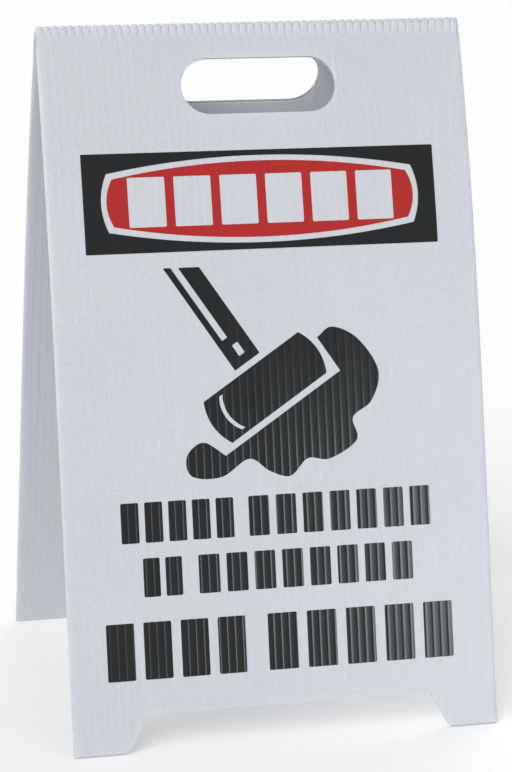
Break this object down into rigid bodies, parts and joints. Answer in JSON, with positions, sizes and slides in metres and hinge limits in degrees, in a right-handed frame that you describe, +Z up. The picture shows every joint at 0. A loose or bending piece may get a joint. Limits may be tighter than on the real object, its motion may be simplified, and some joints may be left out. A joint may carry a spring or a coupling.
{
  "type": "wet floor sign",
  "caption": "Fold-up floor sign: one sheet of white twin-wall plastic board creased into two leaves, with a carrying slot, four feet and a black and red print on both faces.",
  "frame": {"origin": "on the floor, midway between the two leaves' feet and midway across the sign", "axes": "+Z up, +X along the crease, -Y the way the front leaf faces"},
  "size_m": [0.3048, 0.2802, 0.4833],
  "materials": {
    "board": "satin, slightly translucent white board",
    "ink_black": "glossy screen ink",
    "ink_red": "glossy screen ink"
  },
  "bodies": {
    "front": {"front_leaf": "board", "crease_hinge": "board", "front_header_block": "ink_black", "front_header_field": "ink_red", "front_icon_handle": "ink_black", "front_icon_head": "ink_black", "front_icon_puddle": "ink_black", "front_line1_word1": "ink_black", "front_line1_word2": "ink_black", "front_line2_word1": "ink_black", "front_line2_word2": "ink_black", "front_line3_word1": "ink_black", "front_line3_word2": "ink_black"},
    "rear": {"rear_leaf": "board", "rear_header_block": "ink_black", "rear_header_field": "ink_red", "rear_icon_handle": "ink_black", "rear_icon_head": "ink_black", "rear_icon_puddle": "ink_black", "rear_line1_word1": "ink_black", "rear_line1_word2": "ink_black", "rear_line2_word1": "ink_black", "rear_line2_word2": "ink_black", "rear_line3_word1": "ink_black", "rear_line3_word2": "ink_black"}
  },
  "joints": [
    {"name": "fold", "type": "hinge", "parent": "front", "child": "rear", "pos_m": [0, 0, 0.48078], "axis": [1, 0, 0], "range_deg": [-31.5, 132], "deforming": ["crease_hinge"]}
  ]
}
